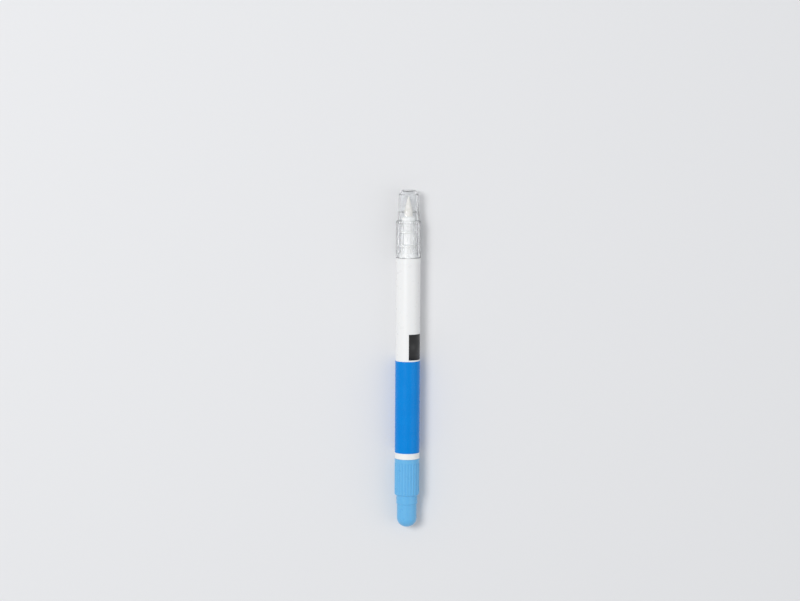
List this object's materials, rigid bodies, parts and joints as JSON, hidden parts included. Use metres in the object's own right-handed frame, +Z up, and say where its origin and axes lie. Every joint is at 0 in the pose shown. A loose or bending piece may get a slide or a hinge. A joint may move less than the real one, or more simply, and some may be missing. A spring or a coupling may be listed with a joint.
{
  "type": "fabric marker pen",
  "caption": "Double-ended fabric marking pen on one round barrel, with a marker tip and an eraser tip under fluted pull-off caps.",
  "frame": {"origin": "on the surface the pen lies on, under the middle of its length and its axis", "axes": "+X along the pen's axis towards the clear cap, +Z up, the pen lying on its side"},
  "size_m": [0.136, 0.0098, 0.0099],
  "materials": {
    "clear_plastic": "clear, polished",
    "pale_blue_plastic": "glossy",
    "white_plastic": "glossy",
    "blue_film": "glossy printed film",
    "eraser_fibre": "pressed fibre",
    "ink_fibre": "pressed fibre, soaked in blue ink",
    "clear_wrap": "thin clear film",
    "divider_plastic": "matt"
  },
  "bodies": {
    "barrel": {"barrel_tube": "white_plastic", "blue_film_sleeve": "blue_film", "divider_plug": "divider_plastic", "eraser_holder": "white_plastic", "eraser_nib": "eraser_fibre", "eraser_reservoir": "eraser_fibre", "eraser_reservoir_wrap": "clear_wrap", "marker_holder": "white_plastic", "marker_nib": "ink_fibre", "marker_reservoir": "ink_fibre", "marker_reservoir_wrap": "clear_wrap"},
    "eraser_cap": {"eraser_cap": "clear_plastic"},
    "marker_cap": {"marker_cap": "pale_blue_plastic"}
  },
  "joints": [
    {"name": "eraser_cap_slide", "type": "slide", "parent": "barrel", "child": "eraser_cap", "axis": [1, 0, 0], "range_m": [0, 0.03]},
    {"name": "marker_cap_slide", "type": "slide", "parent": "barrel", "child": "marker_cap", "axis": [-1, 0, 0], "range_m": [0, 0.03]}
  ]
}
